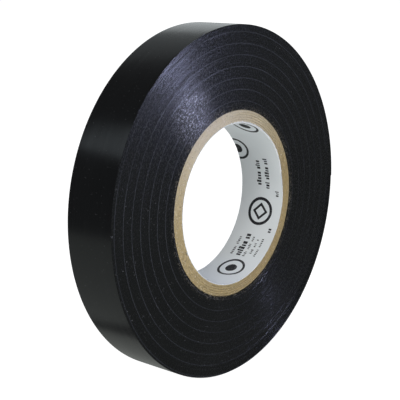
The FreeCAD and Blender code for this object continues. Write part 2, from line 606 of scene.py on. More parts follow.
FILM_FACE = FilmFace("vinyl_face", (0.0034, 0.0038, 0.0044), 0.20, 0.5)
FILM_EDGE = FilmEdge("vinyl_slit_edge", (0.0048, 0.0055, 0.0051), 0.24, 0.70, 0.45, 0.42)
TACK = Tack("black_glue", (0.013, 0.013, 0.014), 0.42, 0.45)
BOARD = Board("raw_board", (0.47, 0.366, 0.174), 0.45, 1.0, 1.0, 0.45)
PAPER = Paper("liner_paper", (0.70, 0.80, 0.78), 0.55, 0.35)
FIBRE = Paper("torn_paper_fibre", (0.90, 0.91, 0.90), 0.7, 0.3)
INK = Ink("liner_ink", (0.018, 0.018, 0.021), 0.5, 0.3)


# ---------------------------------------------------------------------------------------------
# Bench work


class Grain:
    """Smooth seeded unevenness: a sum of waves in any number of directions."""

    def __init__(self, seed: int, pitch: tuple[float, ...], waves: int = 24) -> None:
        """Draws the waves.

        Args:
            seed: The number that settles the waves.
            pitch: The typical length of a wave along each input.
            waves: How many waves are added up.
        """
        drawn = np.random.default_rng(seed)
        self.turns = drawn.normal(0.0, 1.0, (waves, len(pitch))) / np.array(pitch)
        self.start = drawn.uniform(0.0, TAU, waves)
        self.scale = math.sqrt(2.0 / waves)

    def __call__(self, *inputs: Array) -> Array:
        """Gives the unevenness at each place.

        Args:
            inputs: The place, one array for each direction.

        Returns:
            The values, about -1 to 1.
        """
        total = np.zeros(np.shape(inputs[0]))
        for turns, start in zip(self.turns, self.start):
            total += np.sin(sum(t * v for t, v in zip(turns, inputs)) * TAU + start)
        return total * self.scale * 0.7


def step(low: float, high: float, value: Array) -> Array:
    """Rises smoothly from 0 at low to 1 at high."""
    share = np.clip((value - low) / (high - low), 0.0, 1.0)
    return share * share * (3 - 2 * share)


class Bench:
    """The hand moves that every piece shares."""

    @staticmethod
    def clear() -> None:
        """Goes to object mode and leaves nothing selected."""
        if bpy.context.object and bpy.context.object.mode != "OBJECT":
            bpy.ops.object.mode_set(mode="OBJECT")
        bpy.ops.object.select_all(action="DESELECT")

    @staticmethod
    def take(piece: Object) -> None:
        """Makes one piece the only one selected, and active."""
        Bench.clear()
        piece.select_set(True)
        bpy.context.view_layer.objects.active = piece

    @staticmethod
    @contextmanager
    def editing(mode: str = "VERT") -> Iterator[None]:
        """Works in edit mode on the active piece, all of it selected, and goes back.

        Args:
            mode: What is selected: VERT, EDGE or FACE.

        Returns:
            The time in edit mode, for a with statement.
        """
        bpy.ops.object.mode_set(mode="EDIT")
        bpy.ops.mesh.select_mode(type=mode)
        bpy.ops.mesh.select_all(action="SELECT")
        yield
        bpy.ops.object.mode_set(mode="OBJECT")

    @staticmethod
    def places(piece: Object) -> Array:
        """Gives the vertices of a piece, one row each."""
        flat = np.empty(len(piece.data.vertices) * 3)
        piece.data.vertices.foreach_get("co", flat)
        return flat.reshape(-1, 3)

    @staticmethod
    def put(piece: Object, places: Array) -> None:
        """Moves the vertices of a piece, one row each."""
        piece.data.vertices.foreach_set("co", places.ravel())

    @staticmethod
    def hold(name: str, data: bpy.types.ID) -> Object:
        """Puts a mesh, a light or a camera in the scene.

        Args:
            name: The new object's name.
            data: What it holds.

        Returns:
            The new object.
        """
        made = bpy.data.objects.new(name, data)
        bpy.context.scene.collection.objects.link(made)
        return made

    @staticmethod
    def pick(piece: Object, chosen: Array) -> None:
        """Enters edit mode with only these vertices selected.

        Args:
            piece: The piece to edit.
            chosen: One truth value for each vertex.
        """
        Bench.take(piece)
        mesh = piece.data
        mesh.polygons.foreach_set("select", np.zeros(len(mesh.polygons), bool))
        mesh.edges.foreach_set("select", np.zeros(len(mesh.edges), bool))
        mesh.vertices.foreach_set("select", chosen)
        bpy.ops.object.mode_set(mode="EDIT")
        bpy.ops.mesh.select_mode(type="VERT")

    @staticmethod
    def section(
        name: str, inner: float, outer: float, half_width: float, across: int, along: int
    ) -> Object:
        """Lays the cut through a ring flat at angle 0, as a loop of edges.

        Args:
            name: The piece's name.
            inner: The ring's inner radius.
            outer: The ring's outer radius.
            half_width: Half of the ring's width.
            across: How many parts the cut has from inner to outer.
            along: How many parts it has over the width.

        Returns:
            The new object, with its place in its mesh.
        """
        Bench.clear()
        middle = ((inner + outer) / 2, 0.0, 0.0)
        bpy.ops.mesh.primitive_grid_add(
            x_subdivisions=across, y_subdivisions=along, size=1.0, location=middle
        )
        piece = bpy.context.object
        piece.name = piece.data.name = name
        with Bench.editing("EDGE"):
            size = (outer - inner, 2 * half_width, 1.0)
            bpy.ops.transform.resize(value=size, center_override=middle)
            bpy.ops.mesh.region_to_loop()
            bpy.ops.mesh.select_all(action="INVERT")
            bpy.ops.mesh.delete(type="EDGE")
            bpy.ops.mesh.select_all(action="SELECT")
            bpy.ops.mesh.delete(type="ONLY_FACE")
            bpy.ops.mesh.select_all(action="SELECT")
            bpy.ops.mesh.delete_loose(use_verts=True, use_edges=False, use_faces=False)
        bpy.ops.object.transform_apply(location=True, rotation=True, scale=True)
        return piece

    @staticmethod
    def spin(piece: Object, sweep: float, steps: int) -> None:
        """Spins a section round the axis, from +X towards +Z, and closes the piece.

        Args:
            piece: A section from angle 0.
            sweep: The angle to spin through, in degrees.
            steps: How many steps that takes.
        """
        Bench.take(piece)
        turning = piece.modifiers.new("turning", "SCREW")
        turning.axis = "Y"
        turning.angle = -math.radians(sweep)
        turning.steps = turning.render_steps = steps
        turning.use_smooth_shade = False
        bpy.ops.object.modifier_apply(modifier=turning.name)
        with Bench.editing():
            bpy.ops.mesh.remove_doubles(threshold=MERGE)
        if sweep < 360.0:
            x, _, z = Bench.places(piece).T
            angle = np.degrees(np.arctan2(z, x)) % 360.0
            for end in (0.0, sweep):
                off = np.abs((angle - end + 180.0) % 360.0 - 180.0)
                Bench.pick(piece, off < 0.25 * sweep / steps)
                bpy.ops.mesh.edge_face_add()
                bpy.ops.object.mode_set(mode="OBJECT")
        Bench.outward(piece)

    @staticmethod
    def outward(piece: Object) -> None:
        """Turns every face of a piece outwards."""
        Bench.take(piece)
        with Bench.editing():
            bpy.ops.mesh.normals_make_consistent(inside=False)

    @staticmethod
    def lay(piece: Object, radius: Array, angle: Array, y: Array) -> None:
        """Puts every vertex at a new place.

        Args:
            piece: The piece whose vertices move.
            radius: Their distances from the axis.
            angle: Their angles from +X, in radians.
            y: Their places along the axis.
        """
        moved = np.column_stack([radius * np.cos(angle), y, radius * np.sin(angle)])
        Bench.put(piece, moved)
        piece.data.update()

    @staticmethod
    def reshape(piece: Object, rule: Rule) -> None:
        """Moves every vertex by a rule on its radius, its angle and its place along the axis.

        Args:
            piece: The piece to shape.
            rule: Takes radius, angle from 0 to a turn, and axial place, and gives the new ones.
        """
        x, y, z = Bench.places(piece).T
        angle = (np.arctan2(z, x) + MERGE) % TAU - MERGE
        Bench.lay(piece, *rule(np.hypot(x, z), angle, y))

    @staticmethod
    def join(pieces: list[Object], name: str) -> Object:
        """Joins pieces as one, at the origin and unturned.

        Args:
            pieces: The pieces, of which the first takes in the rest.
            name: The name of what they become.

        Returns:
            The joined piece.
        """
        Bench.clear()
        for piece in pieces:
            piece.select_set(True)
        bpy.context.view_layer.objects.active = pieces[0]
        bpy.ops.object.transform_apply(location=True, rotation=True, scale=True)
        bpy.ops.object.join()
        pieces[0].name = pieces[0].data.name = name
        return pieces[0]

    @staticmethod
    def smooth(piece: Object, angle: float) -> None:
        """Shades a piece smooth up to an angle in degrees."""
        Bench.take(piece)
        bpy.ops.object.shade_smooth_by_angle(angle=math.radians(angle))

    @staticmethod
    def dress(piece: Object, *finishes: Finish) -> None:
        """Gives a piece its finishes, the first one all over."""
        piece.data.materials.clear()
        for finish in finishes:
            piece.data.materials.append(finish.material())

    @staticmethod
    def dress_sides(piece: Object, face: Finish, edge: Finish) -> None:
        """Gives a ring one finish round its faces and another on its two sides.

        Args:
            piece: The ring.
            face: The finish of faces that look away from the axis or at it.
            edge: The finish of faces that look along the axis.
        """
        Bench.dress(piece, face, edge)
        normals = np.empty(len(piece.data.polygons) * 3)
        piece.data.polygons.foreach_get("normal", normals)
        sideways = np.abs(normals.reshape(-1, 3)[:, 1]) > SIDEWAYS
        piece.data.polygons.foreach_set("material_index", sideways.astype(np.int32))

    @staticmethod
    def fit(piece: Object, body: str, slot: Slot, *nodes: str) -> None:
        """Lets a piece ride on a body, in the place of the nodes it stands for.

        Args:
            piece: The finished piece.
            body: The body that carries it.
            slot: Not used.
            nodes: The nodes it stands for, if there are any.
        """
        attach(piece, body)
        if nodes:
            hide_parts(*nodes)
        LOG.info("%s: %d faces, on %s", piece.name, len(piece.data.polygons), body)


# ---------------------------------------------------------------------------------------------
# Sizes


def reach(node: str) -> float:
    """Gives a ring node's outer radius."""
    low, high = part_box(node)
    return round(max(-low[0], high[0], -low[2], high[2]), 7)


@dataclass(frozen=True)
class Ribbon:
    """The spiral that the outermost turns follow, as two half circles a little off centre."""

    upper: float
    lower: float
    offset: float
    film: float
    glue: float
    tail: float
    half_width: float

    @classmethod
    def measure(cls) -> "Ribbon":
        """Reads the spiral's sizes from the frame.

        Returns:
            The ribbon, with the radii of its outer film.
        """
        film_low, film_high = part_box("last_turn_film")
        glue_low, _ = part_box("last_turn_glue")
        wound_low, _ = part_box("wound_turns_8")
        _, tail_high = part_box("tail_film_6")
        upper, lower = film_high[2], -film_low[2]
        offset = upper + film_low[0]
        return cls(
            upper=upper,
            lower=lower,
            offset=offset,
            film=lower + glue_low[2],
            glue=wound_low[2] - glue_low[2],
            tail=tail_high[0] - offset,
            half_width=film_high[1] - ROUNDING,
        )

    @property
    def pitch(self) -> float:
        """The thickness of one turn."""
        return self.film + self.glue

    def half(self, angle: Array, upper: float, lower: float) -> Array:
        """Gives the radius of the spiral at an angle.

        Args:
            angle: The angle from +X, in radians.
            upper: The radius of its upper half circle.
            lower: The radius of its lower half circle.

        Returns:
            The distance from the roll's axis.
        """
        side = np.where(angle < math.pi, 1.0, -1.0)
        radius = np.where(angle < math.pi, upper, lower)
        across = self.offset * np.sin(angle)
        return side * self.offset * np.cos(angle) + np.sqrt(radius**2 - across**2)

    def outline(self, angle: Array) -> Array:
        """Gives the radius of the outer film's face, the tail's from its first joint down.

        Args:
            angle: The angle from +X, in radians.

        Returns:
            The distance from the roll's axis.
        """
        rise = [math.radians(edge) for edge in TAIL_RISE]
        lift = step(*rise, angle) * (self.tail - self.upper)
        lift = np.where(angle < math.pi, lift, 0.0)
        return self.half(angle, self.upper + lift, self.lower)

    def wound(self, angle: Array) -> Array:
        """Gives the radius of the outermost full turn under the last one."""
        return self.half(angle, self.upper - self.pitch, self.lower - self.pitch)


# ---------------------------------------------------------------------------------------------
# The core


@dataclass
class Core:
    """The board core: five spiral-wound plies and the printed paper liner inside them."""

    plies: int = 5
    lead: float = 68.0 * MM
    seam_gap: float = 0.25 * MM
    seam_place: float = -8.35 * MM
    liner_seam: float = 147.0
    seam_stagger: float = 137.0
    steps: int = 720
    ply_cuts: tuple[int, int] = (5, 12)
    ply_fuzz: float = 0.020
    ply_lumps: float = 0.016
    ply_slope: float = 0.17
    corner_round: float = 0.03
    nick_angle: float = 205.0
    nick_spread: float = 1.1
    nick_depth: float = 0.55
    liner_cuts: tuple[int, int] = (2, 16)
    liner_fray: float = 0.035
    liner_bow: float = 0.006 * MM
    loose_angle: float = 10.0
    loose_spread: float = 13.0
    loose_gap: float = 0.42 * MM
    upper_share: float = 0.35
    upper_angle: float = 52.0
    upper_spread: float = 16.0
    liner_bore: float = 0.0
    half_width: float = 0.0

    def __post_init__(self) -> None:
        """Reads the width from the liner's node."""
        self.half_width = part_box("core_liner")[1][1] - ROUNDING

    def seam(self, number: int, y: Array) -> Array:
        """Gives a strip's seam angle, in radians, at a place along the axis."""
        start = math.radians(self.liner_seam + self.seam_stagger * number)
        return start + (y - self.seam_place) / self.lead * TAU

    def strip(
        self, number: int, name: str, inner: float, outer: float, cuts: tuple[int, int]
    ) -> Object:
        """Winds one strip as a helix whose two edges nearly meet.

        Args:
            number: The strip's place from the inside, 0 for the liner.
            name: The piece's name.
            inner: The strip's inner radius.
            outer: The strip's outer radius.
            cuts: The section's parts from inner to outer and over the width.

        Returns:
            The piece, twisted so that its seam follows the helix.
        """
        sweep = 360.0 - math.degrees(self.seam_gap / outer)
        piece = Bench.section(name, inner, outer, self.half_width, *cuts)
        Bench.spin(piece, sweep, self.steps)

        def twist(radius: Array, angle: Array, y: Array) -> Polar:
            """Turns each slice to where the seam is.

            Args:
                radius: The distances from the axis.
                angle: The angles from +X, in radians.
                y: The places along the axis.

            Returns:
                The new distances, angles and places.
            """
            return radius, angle + self.seam(number, y), y

        Bench.reshape(piece, twist)
        return piece

    def make_plies(self) -> None:
        """Winds the five plies of board and roughens their slit edges."""
        inner = reach("core_liner")
        for number in range(1, self.plies + 1):
            node = f"core_ply_{number}"
            outer = reach(node)
            piece = self.strip(number, f"board_ply_{number}", inner, outer, self.ply_cuts)
            fuzz = Grain(40 + number, (0.16 * MM, 0.16 * MM), 60)
            lumps = Grain(60 + number, (1.1 * MM, 1.1 * MM), 30)
            middle, half = (inner + outer) / 2, (outer - inner) / 2

            def slit(radius: Array, angle: Array, y: Array) -> Polar:
                """Rounds the ply's corners and lifts its fibres on both slit sides.

                Args:
                    radius: The distances from the axis.
                    angle: The angles from +X, in radians.
                    y: The places along the axis.

                Returns:
                    The new distances, angles and places.
                """
                side = step(0.86, 1.0, np.abs(y) / self.half_width)
                corner = np.clip(np.abs(radius - middle) / half, 0, 1) ** 4
                x, z = radius * np.cos(angle), radius * np.sin(angle)
                rough = self.ply_fuzz * (1 + fuzz(x, z)) + self.ply_lumps * (1 + lumps(x, z))
                slope = self.ply_slope * (radius - inner) / (outer - inner)
                off = (np.degrees(angle) % 360.0 - self.nick_angle) / self.nick_spread
                nick = self.nick_depth * np.exp(-(off**2))
                nick = nick * np.clip(1.6 - number, 0.0, 1.0) * (y < 0)
                depth = np.maximum(rough + slope + nick + self.corner_round * corner, 0.0) * MM
                return radius, angle, y - np.sign(y) * side * depth

            Bench.reshape(piece, slit)
            Bench.smooth(piece, 50.0)
            Bench.dress(piece, BOARD)
            Bench.fit(piece, "roll", Slot.BOARD, node)
            inner = outer

    def lift(self, angle: Array, y: Array) -> Array:
        """Gives how far the liner has come away from the board, at its front edge.

        Args:
            angle: The angle from +X, in radians.
            y: The place along the axis.

        Returns:
            The gap between liner and board.
        """
        off = (np.degrees(angle) - self.loose_angle + 180.0) % 360.0 - 180.0
        upper = np.exp(-(((off - self.upper_angle) / self.upper_spread) ** 2))
        around = np.exp(-((off / self.loose_spread) ** 2)) + self.upper_share * upper
        return self.loose_gap * around * step(-0.25, -1.0, y / self.half_width)

    def make_liner(self) -> None:
        """Winds the paper liner, with a fuzzy slit edge and a stretch that has come away."""
        outer = reach("core_liner")
        inner = self.liner_bore
        piece = self.strip(0, "paper_liner", inner, outer, self.liner_cuts)
        fuzz = Grain(80, (0.22 * MM, 0.22 * MM), 60)
        wave = Grain(81, (0.5, 5.0 * MM), 20)

        def settle(radius: Array, angle: Array, y: Array) -> Polar:
            """Frays the two edges and lifts the loose stretch.

            Args:
                radius: The distances from the axis.
                angle: The angles from +X, in radians.
                y: The places along the axis.

            Returns:
                The new distances, angles and places.
            """
            side = step(0.9, 1.0, np.abs(y) / self.half_width)
            x, z = radius * np.cos(angle), radius * np.sin(angle)
            fray = self.liner_fray * (1 + fuzz(x, z)) * MM
            bow = self.liner_bow * wave(np.sin(angle), y) * (1 - side)
            gap = self.lift(angle, y)
            return radius - gap - np.abs(bow), angle, y - np.sign(y) * side * np.maximum(fray, 0)

        Bench.reshape(piece, settle)
        Bench.smooth(piece, 50.0)
        Bench.dress(piece, PAPER)
        Bench.fit(piece, "roll", Slot.PAPER, "core_liner")


@dataclass
class Fray:
    """Short paper fibres that stand at the liner's slit edge, where the knife tore it."""

    core: Core
    count: int = 260
    length: tuple[float, float] = (0.35 * MM, 0.95 * MM)
    width: float = 0.15 * MM
    first: float = 14.0
    last: float = 96.0
    taper: float = 0.75
    curl: float = 0.8
    tilt: float = 0.5
    stand_mm: Spot = (-0.10, 0.22)
    depth_mm: Spot = (0.07, 0.22)
    clear: float = 0.01 * MM
    seed: int = 5

    def make(self) -> None:
        """Shapes one fibre, copies it along the torn stretch and joins the copies."""
        Bench.clear()
        bpy.ops.mesh.primitive_cube_add(size=1.0)
        fibre = bpy.context.object
        with Bench.editing():
            bpy.ops.mesh.subdivide(number_cuts=1)
        places = Bench.places(fibre)
        places[:, 1:] *= 1.0 - self.taper * np.abs(places[:, :1]) * 2
        places[:, 2] += self.curl * places[:, 0] ** 2
        Bench.put(fibre, places)
        drawn = np.random.default_rng(self.seed)
        bore, edge = self.core.liner_bore, -self.core.half_width
        copies = []
        for _ in range(self.count):
            copy = Bench.hold("fibre", fibre.data.copy())
            angle = math.radians(drawn.uniform(self.first, self.last))
            long = drawn.uniform(*self.length)
            gap = float(self.core.lift(np.array([angle]), np.array([edge]))[0])
            radius = bore - gap + drawn.uniform(*self.stand_mm) * MM
            tilt = drawn.uniform(-self.tilt, self.tilt)
            around = np.array([-math.sin(angle), 0.0, math.cos(angle)])
            outward = np.array([math.cos(angle), 0.0, math.sin(angle)])
            lay = math.cos(tilt) * around + math.sin(tilt) * outward
            across = np.cross(lay, (0.0, 1.0, 0.0))
            middle = radius * outward + (0.0, edge + drawn.uniform(*self.depth_mm) * MM, 0.0)
            shape = Bench.places(copy) * (long, self.width, self.width)
            laid = middle + shape[:, :1] * lay + shape[:, 1:2] * across + shape[:, 2:] * (0, 1, 0)
            laid[:, 1] = np.maximum(laid[:, 1], edge + self.clear)
            Bench.put(copy, laid)
            copies.append(copy)
        bpy.data.objects.remove(fibre)
        piece = Bench.join(copies, "liner_fibres")
        Bench.outward(piece)
        Bench.smooth(piece, 60.0)
        Bench.dress(piece, FIBRE)
        Bench.fit(piece, "roll", Slot.PAPER)


# ---------------------------------------------------------------------------------------------
# The liner's print


@dataclass(frozen=True)
class Mark:
    """One plain mark of the print.

    Args:
        kind: Which mark it is.
        angle: Its place round the liner from where its block starts, in degrees.
        y: Its place along the axis from the block's own, in mm.
        size: Its radius, or a row's length, in mm.
        height: The height of a row's blocks, in mm.
        along: How much further round a row starts, in mm.
    """

    kind: Stamp
    angle: float
    y: float
    size: float
    height: float = 0.0
    along: float = 0.0


BLOCK = (
    Mark(Stamp.TARGET, 0.0, -0.4, 3.5),
    Mark(Stamp.ROW, 14.5, 3.1, 5.6, 0.85),
    Mark(Stamp.ROW, 14.5, 1.1, 6.6, 1.7),
    Mark(Stamp.ROW, 14.5, -0.75, 6.0, 0.7),
    Mark(Stamp.ROW, 14.5, -2.2, 4.2, 0.7, 1.2),
    Mark(Stamp.ROW, 14.5, -3.6, 5.2, 0.7, 0.6),
    Mark(Stamp.LOZENGE, 53.0, -0.2, 3.6),
    Mark(Stamp.ROW, 38.0, -4.4, 1.0, 1.1),
    Mark(Stamp.ROW, 66.0, -4.6, 1.8, 1.1),
    Mark(Stamp.ROW, 73.0, 0.9, 7.0, 1.35),
    Mark(Stamp.ROW, 71.0, -1.6, 8.6, 1.3),
)
REST_OF_PRINT = (
    Mark(Stamp.TARGET, 30.0, 5.9, 3.3),
    Mark(Stamp.TARGET, 196.0, 0.8, 3.2),
    Mark(Stamp.ROW, 210.0, 1.6, 8.0, 1.4),
    Mark(Stamp.ROW, 211.0, -0.8, 6.4, 0.8),
    Mark(Stamp.LOZENGE, 250.0, 0.6, 3.2),
)


@dataclass
class Print:
    """Plain stamps and rows of blocks on the liner, in place of any real marking."""

    core: Core
    gauge: float = 0.02 * MM
    line: float = 0.60 * MM
    block_gap: float = 0.24 * MM
    word_gap: float = 2.4
    word_length: tuple[int, int] = (3, 7)
    block_share: Spot = (0.16, 0.46)
    low_share: float = 0.72
    disc_share: float = 0.42
    disc_rings: int = 5
    lozenge_share: float = 0.62
    heavy: float = 1.25
    trim: float = 0.12 * MM
    clear: float = 0.010 * MM
    block_angle: float = 288.0
    block_step: float = 134.0
    block_shift: float = -1.6 * MM
    seed: int = 7
    parts: list[Object] = field(default_factory=list)

    def circle(self, sides: int, radius: float, at: Spot) -> None:
        """Adds a flat circle, or another even outline, filled with one face.

        Args:
            sides: How many corners it has.
            radius: Its radius.
            at: Its place round the liner and along the axis.
        """
        Bench.clear()
        bpy.ops.mesh.primitive_circle_add(
            vertices=sides, radius=radius, fill_type="NGON", location=(*at, 0.0)
        )
        self.parts.append(bpy.context.object)

    def ring(self, sides: int, radius: float, at: Spot, line: float) -> None:
        """Stamps an outline.

        Args:
            sides: Its corners, 4 for a lozenge and 48 for a ring.
            radius: Its outer radius.
            at: Its place round the liner and along the axis.
            line: The thickness of its line.
        """
        self.circle(sides, radius, at)
        with Bench.editing("FACE"):
            bpy.ops.mesh.inset(thickness=line)
            bpy.ops.mesh.delete(type="FACE")
            if sides == 4:
                bpy.ops.mesh.select_all(action="SELECT")
                bpy.ops.mesh.subdivide(number_cuts=5)

    def disc(self, radius: float, at: Spot) -> None:
        """Stamps a filled disc, in rings so that it can follow the liner's curve.

        Args:
            radius: Its radius.
            at: Its place round the liner and along the axis.
        """
        self.circle(32, radius, at)
        with Bench.editing("FACE"):
            for _ in range(self.disc_rings - 1):
                bpy.ops.mesh.inset(thickness=radius / self.disc_rings)

    def patch(self, size: Spot, at: Spot) -> None:
        """Stamps a filled block.

        Args:
            size: Its length round the liner and its height along the axis.
            at: Its middle, round the liner and along the axis.
        """
        Bench.clear()
        bpy.ops.mesh.primitive_grid_add(
            x_subdivisions=1, y_subdivisions=1, size=1.0, location=(*at, 0.0)
        )
        self.parts.append(bpy.context.object)
        with Bench.editing():
            bpy.ops.transform.resize(value=(*size, 1.0), center_override=(*at, 0.0))

    def row(self, start: float, length: float, y: float, height: float) -> None:
        """Stamps a row of small blocks of uneven lengths, with word-like breaks.

        Args:
            start: Where it starts round the liner.
            length: How long it is.
            y: Its middle along the axis.
            height: The blocks' height.
        """
        drawn = np.random.default_rng(self.seed + len(self.parts))
        at, run = start, 0
        while at < start + length:
            wide = height * drawn.uniform(*self.block_share)
            tall = height * drawn.choice([1.0, self.low_share, self.low_share])
            self.patch((wide, tall), (at + wide / 2, y - (height - tall) / 2))
            run += 1
            at += wide + self.block_gap
            if run >= drawn.integers(*self.word_length):
                at, run = at + self.word_gap * self.block_gap, 0

    def stamp(self, marks: tuple[Mark, ...], angle: float = 0.0, shift: float = 0.0) -> None:
        """Stamps a group of marks.

        Args:
            marks: The marks, in the order in which they are made.
            angle: The angle at which the group starts, in degrees.
            shift: How far it is moved along the axis.
        """
        for mark in marks:
            start = math.radians(angle + mark.angle) * self.core.liner_bore + mark.along * MM
            y, size = shift + mark.y * MM, mark.size * MM
            if mark.kind is Stamp.TARGET:
                self.ring(48, size, (start, y), self.line)
                self.disc(size * self.disc_share, (start, y))
            elif mark.kind is Stamp.LOZENGE:
                self.ring(48, size, (start, y), self.line * self.heavy)
                self.ring(4, size * self.lozenge_share, (start, y), self.line)
            else:
                self.row(start, size, y, mark.height * MM)

    def make(self) -> None:
        """Stamps the layout, cuts it at the liner's edges and lays it on the liner."""
        self.stamp(BLOCK, self.block_angle)
        self.stamp(BLOCK, self.block_angle + self.block_step, self.block_shift)
        self.stamp(REST_OF_PRINT)
        piece = Bench.join(self.parts, "liner_print")
        Bench.take(piece)
        with Bench.editing("FACE"):
            for side in (-1.0, 1.0):
                bpy.ops.mesh.select_all(action="SELECT")
                edge = (0.0, side * (self.core.half_width - self.trim), 0.0)
                bpy.ops.mesh.bisect(
                    plane_co=edge, plane_no=(0.0, side, 0.0), clear_outer=True, clear_inner=False
                )
            bpy.ops.mesh.select_all(action="SELECT")
            raised = {"value": (0, 0, self.gauge)}
            bpy.ops.mesh.extrude_region_move(TRANSFORM_OT_translate=raised)
        Bench.outward(piece)
        self.wrap(piece)
        Bench.dress(piece, INK)
        Bench.fit(piece, "roll", Slot.INK)

    def wrap(self, piece: Object) -> None:
        """Lays the flat print on the liner's curve, and on the stretch that has come away.

        Args:
            piece: The flat print.
        """
        along, y, height = Bench.places(piece).T
        bore = self.core.liner_bore
        angle = along / bore
        Bench.lay(piece, bore - height - self.core.lift(angle, y) - self.clear, angle, y)


# ---------------------------------------------------------------------------------------------
# The wound ribbon


@dataclass
class WoundTurns:
    """The turns of the ribbon from the core outwards, in eight groups."""

    ribbon: Ribbon
    groups: int = 8
    cells_per_group: int = 101
    steps: int = 180
    glue_recess: float = 0.030 * MM
    crown: float = 0.030 * MM
    crown_peak: float = 0.14
    crown_power: float = 1.6
    wander: float = 0.013 * MM
    wander_base: float = 1.2
    own_share: float = 0.6
    slow_share: float = 0.5
    mark_depth: float = 0.035 * MM
    mark_width: float = 0.035
    back_shift: float = 0.37
    lap_gap: float = 0.1
    start: float = 0.0

    def edge_depth(self, radius: Array, angle: Array, y: Array) -> Array:
        """Gives how deep a side lies under the roll's full width.

        Args:
            radius: The distance from the axis.
            angle: The angle from +X, in radians.
            y: The place along the axis, whose sign tells the side.

        Returns:
            The depth: the film's crowned edge, the glue's groove, each turn's own wander and the
            knife's spiral mark.
        """
        turns = (radius - self.start) / self.ribbon.pitch
        number = np.floor(turns + 1e-4)
        phase = turns - number
        glue = self.ribbon.glue / self.ribbon.pitch
        within = np.clip((phase - glue) / (1 - glue), 0, 1)
        rise = np.where(
            within < self.crown_peak,
            1 - within / self.crown_peak,
            (within - self.crown_peak) / (1 - self.crown_peak),
        )
        crown = self.crown * rise**self.crown_power
        groove = np.where(phase < glue, self.glue_recess, 0.0)
        side = np.sign(y)
        own = np.random.default_rng(11).normal(0.0, 1.0, (2, 128))
        shift = own[(side > 0).astype(int), np.clip(number, 0, 127).astype(int)]
        slow = Grain(12, (2.5, 2.5, 2.2 * MM, 1.0), 24)
        drift = slow(np.cos(angle), np.sin(angle), radius, side)
        uneven = self.wander_base + self.own_share * shift + self.slow_share * drift
        wander = self.wander * np.clip(uneven, 0, 3)
        return np.maximum(crown, groove) + wander + self.mark(radius, angle, side)

    def mark(self, radius: Array, angle: Array, side: Array) -> Array:
        """Gives the depth of the slitting knife's spiral mark.

        Args:
            radius: The distance from the axis.
            angle: The angle from +X, in radians.
            side: 1 on the back side and -1 on the front.

        Returns:
            The depth.
        """
        edge = FILM_EDGE
        phase = (radius - edge.mark_start) / edge.mark_pitch - angle / TAU + edge.mark_angle / 360.0
        near = np.abs(phase + np.where(side > 0, self.back_shift, 0.0) - np.round(phase))
        return self.mark_depth * np.exp(-((near / self.mark_width) ** 2))

    def make(self) -> None:
        """Turns the eight groups."""
        inner = self.start = reach("core_ply_5")
        for number in range(1, self.groups + 1):
            node = f"wound_turns_{number}"
            last = number == self.groups
            outer = self.ribbon.upper - self.ribbon.pitch + self.ribbon.offset if last else reach(node)
            piece = Bench.section(
                f"turns_group_{number}", inner, outer, self.ribbon.half_width, self.cells_per_group, 1
            )
            Bench.spin(piece, 360.0, self.steps)

            def slit(radius: Array, angle: Array, y: Array) -> Polar:
                """Shapes the two slit sides, and the spiral's outline on the last group.

                Args:
                    radius: The distances from the axis.
                    angle: The angles from +X, in radians.
                    y: The places along the axis.

                Returns:
                    The new distances, angles and places.
                """
                depth = self.edge_depth(radius, angle, y)
                if last:
                    lap = math.radians(360.0 - self.lap_gap)
                    angle = angle * lap / (TAU * (self.steps - 1) / self.steps)
                    share = (radius - inner) / (outer - inner)
                    radius = radius + share * (self.ribbon.wound(angle) - outer)
                return radius, angle, y - np.sign(y) * depth

            Bench.reshape(piece, slit)
            Bench.smooth(piece, 25.0)
            Bench.dress_sides(piece, FILM_FACE, FILM_EDGE)
            Bench.fit(piece, "roll", Slot.VINYL, node)
            inner = outer


